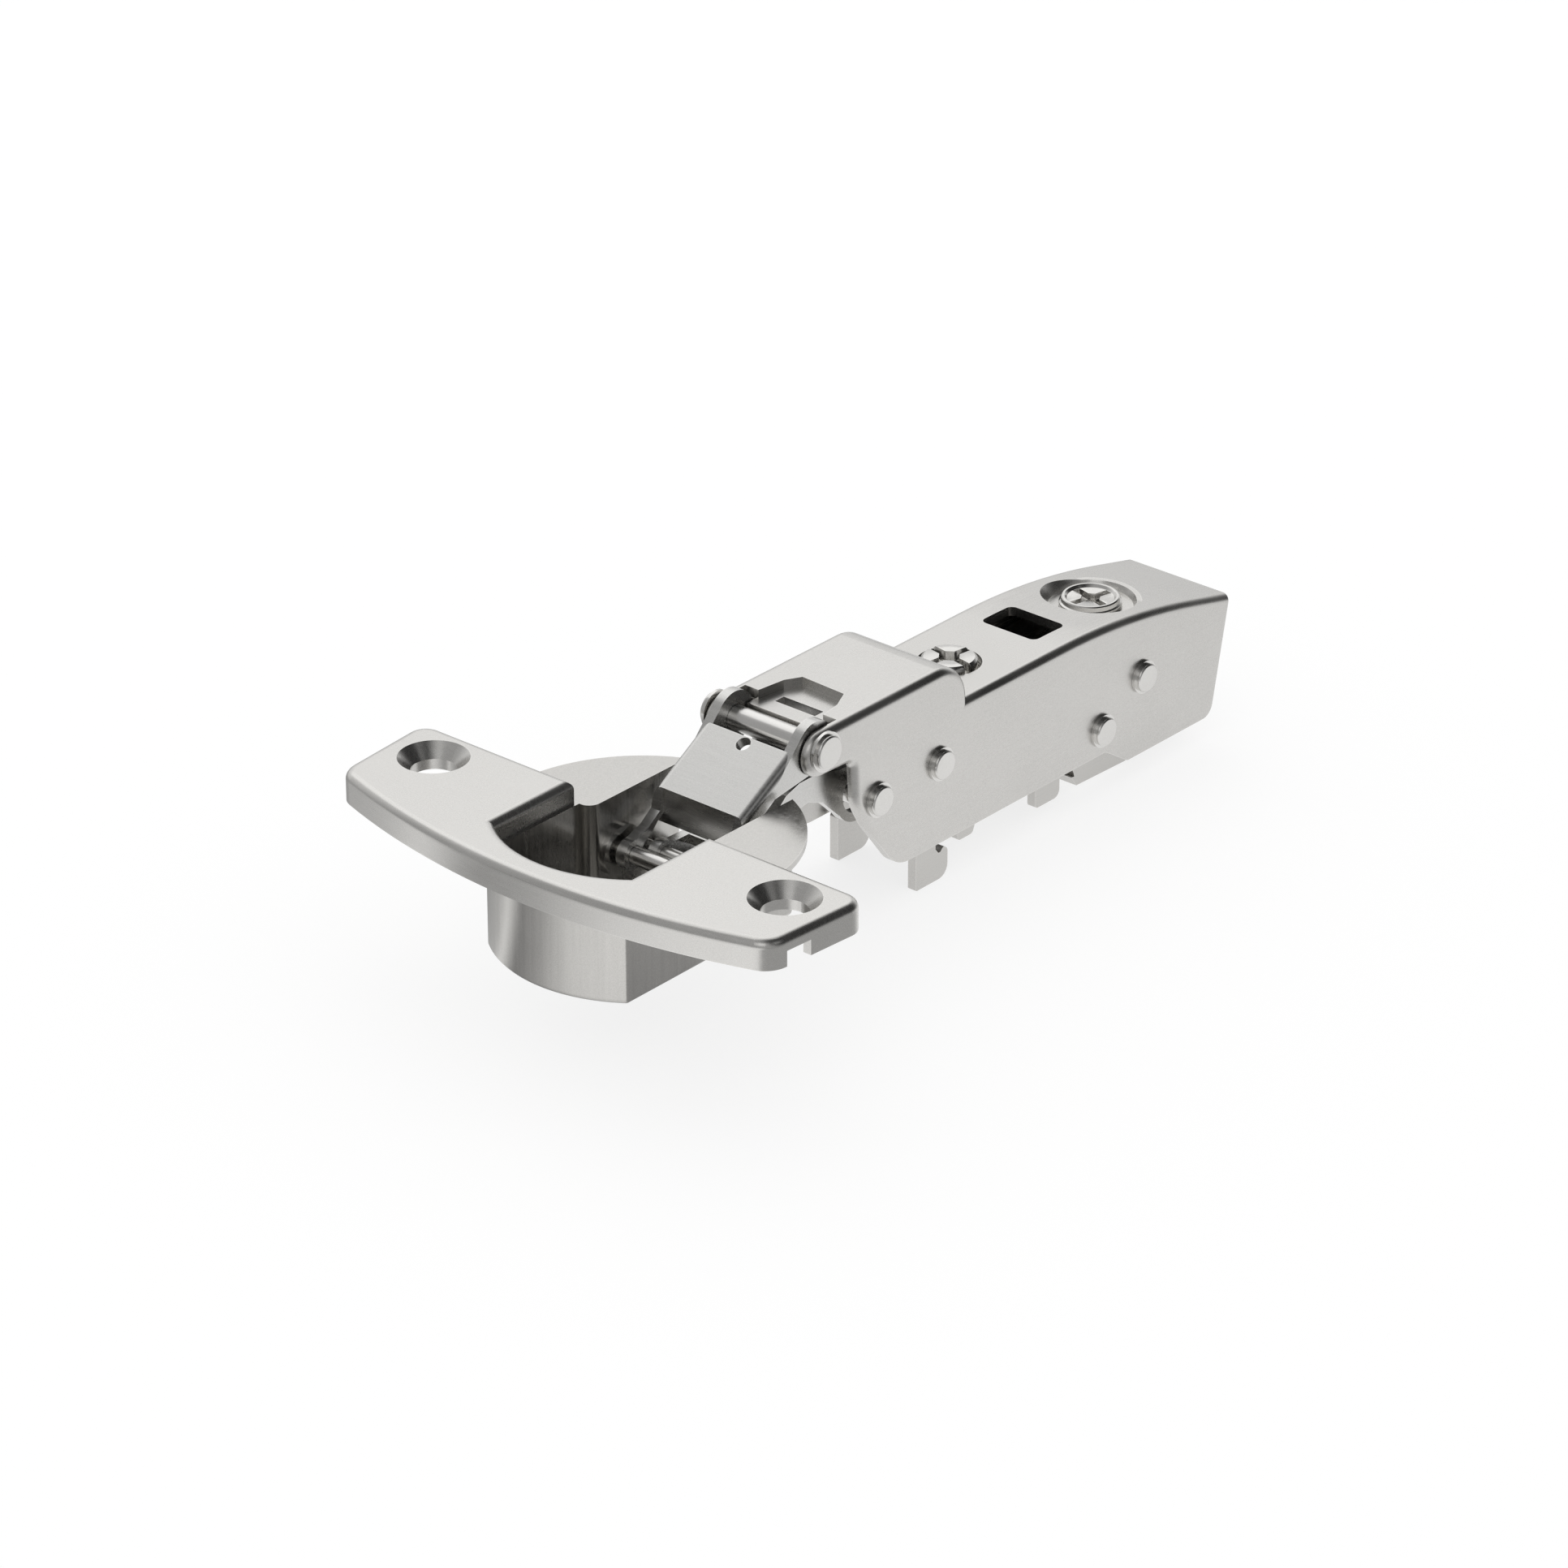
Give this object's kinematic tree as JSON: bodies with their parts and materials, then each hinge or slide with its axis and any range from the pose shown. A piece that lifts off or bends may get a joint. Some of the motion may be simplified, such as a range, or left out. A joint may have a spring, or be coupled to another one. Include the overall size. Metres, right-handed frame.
{
  "type": "concealed cabinet hinge",
  "caption": "Concealed cup hinge for a cabinet door: screw-on cup, two link plates, adjustable arm with overlay screw and depth cam, and a hooked mounting rail.",
  "frame": {"origin": "centre of the door cup on the door's inner face", "axes": "+X along the arm to its rear end, +Z out of the door face, hinge drawn with the door open at a right angle, symmetric about Y = 0 but for the off-centre stud under the depth cam"},
  "size_m": [0.1167, 0.0656, 0.0287],
  "materials": {
    "cup_steel": "satin nickel-plated steel",
    "plate_steel": "satin nickel-plated steel",
    "link_steel": "satin nickel-plated steel",
    "arm_steel": "satin nickel-plated steel",
    "rail_steel": "satin nickel-plated steel",
    "catch_steel": "satin nickel-plated steel",
    "pin_steel": "bright nickel-plated steel",
    "screw_steel": "bright nickel-plated steel",
    "spring_steel": "spring steel"
  },
  "bodies": {
    "rail": {"rail": "rail_steel", "catch_pin": "pin_steel", "catch_spring": "spring_steel"},
    "catch_lever": {"catch_lever": "catch_steel"},
    "arm": {"arm": "arm_steel", "outer_link_pin": "pin_steel", "inner_link_pin": "pin_steel", "spring_pin": "pin_steel", "guide_upper_rivet": "pin_steel", "guide_lower_rivet": "pin_steel", "closing_spring": "spring_steel"},
    "overlay_screw": {"overlay_screw": "screw_steel"},
    "depth_cam": {"depth_cam": "screw_steel", "cam_washer": "screw_steel"},
    "outer_link": {"outer_link": "link_steel"},
    "cup": {"cup_pot": "cup_steel", "cup_plate": "plate_steel", "front_cup_pin": "pin_steel", "rear_cup_pin": "pin_steel"},
    "inner_link": {"inner_link": "link_steel"}
  },
  "joints": [
    {"name": "depth_slide", "type": "slide", "parent": "rail", "child": "arm", "axis": [1, 0, 0], "range_m": [-0.0015, 0.0015]},
    {"name": "depth_cam_turn", "type": "hinge", "parent": "arm", "child": "depth_cam", "pos_m": [0.08, 0, 0], "axis": [0, 0, 1], "range_deg": [-62, 62]},
    {"name": "overlay_turn", "type": "hinge", "parent": "arm", "child": "overlay_screw", "pos_m": [0.0538, 0, 0], "axis": [0, 0, 1], "range_deg": [-360, 360]},
    {"name": "catch_turn", "type": "hinge", "parent": "rail", "child": "catch_lever", "pos_m": [0.0884, 0, -0.0092], "axis": [0, 1, 0], "range_deg": [-8, 0], "stiffness_Nm_per_rad": 0.05, "springref_deg": 5.73},
    {"name": "cup_fold", "type": "hinge", "parent": "outer_link", "child": "cup", "pos_m": [0.0051, 0, -0.00603], "axis": [0, 1, 0], "range_deg": [-19.02, 114.12]},
    {"name": "outer_link_swing", "type": "hinge", "parent": "arm", "child": "outer_link", "pos_m": [0.02225, 0, 0.0048], "axis": [0, 1, 0], "range_deg": [-24.3, 4.2]},
    {"name": "inner_link_swing", "type": "hinge", "parent": "cup", "child": "inner_link", "pos_m": [0.00833, 0, -0.0067], "axis": [0, 1, 0], "range_deg": [-113.8, 19.1]}
  ],
  "couplings": [
    {"joint": "outer_link_swing", "follows": "cup_fold", "ratio": -0.21136},
    {"joint": "inner_link_swing", "follows": "cup_fold", "ratio": -0.99527},
    {"joint": "depth_cam_turn", "follows": "depth_slide", "rad_per_m": -529.1}
  ]
}
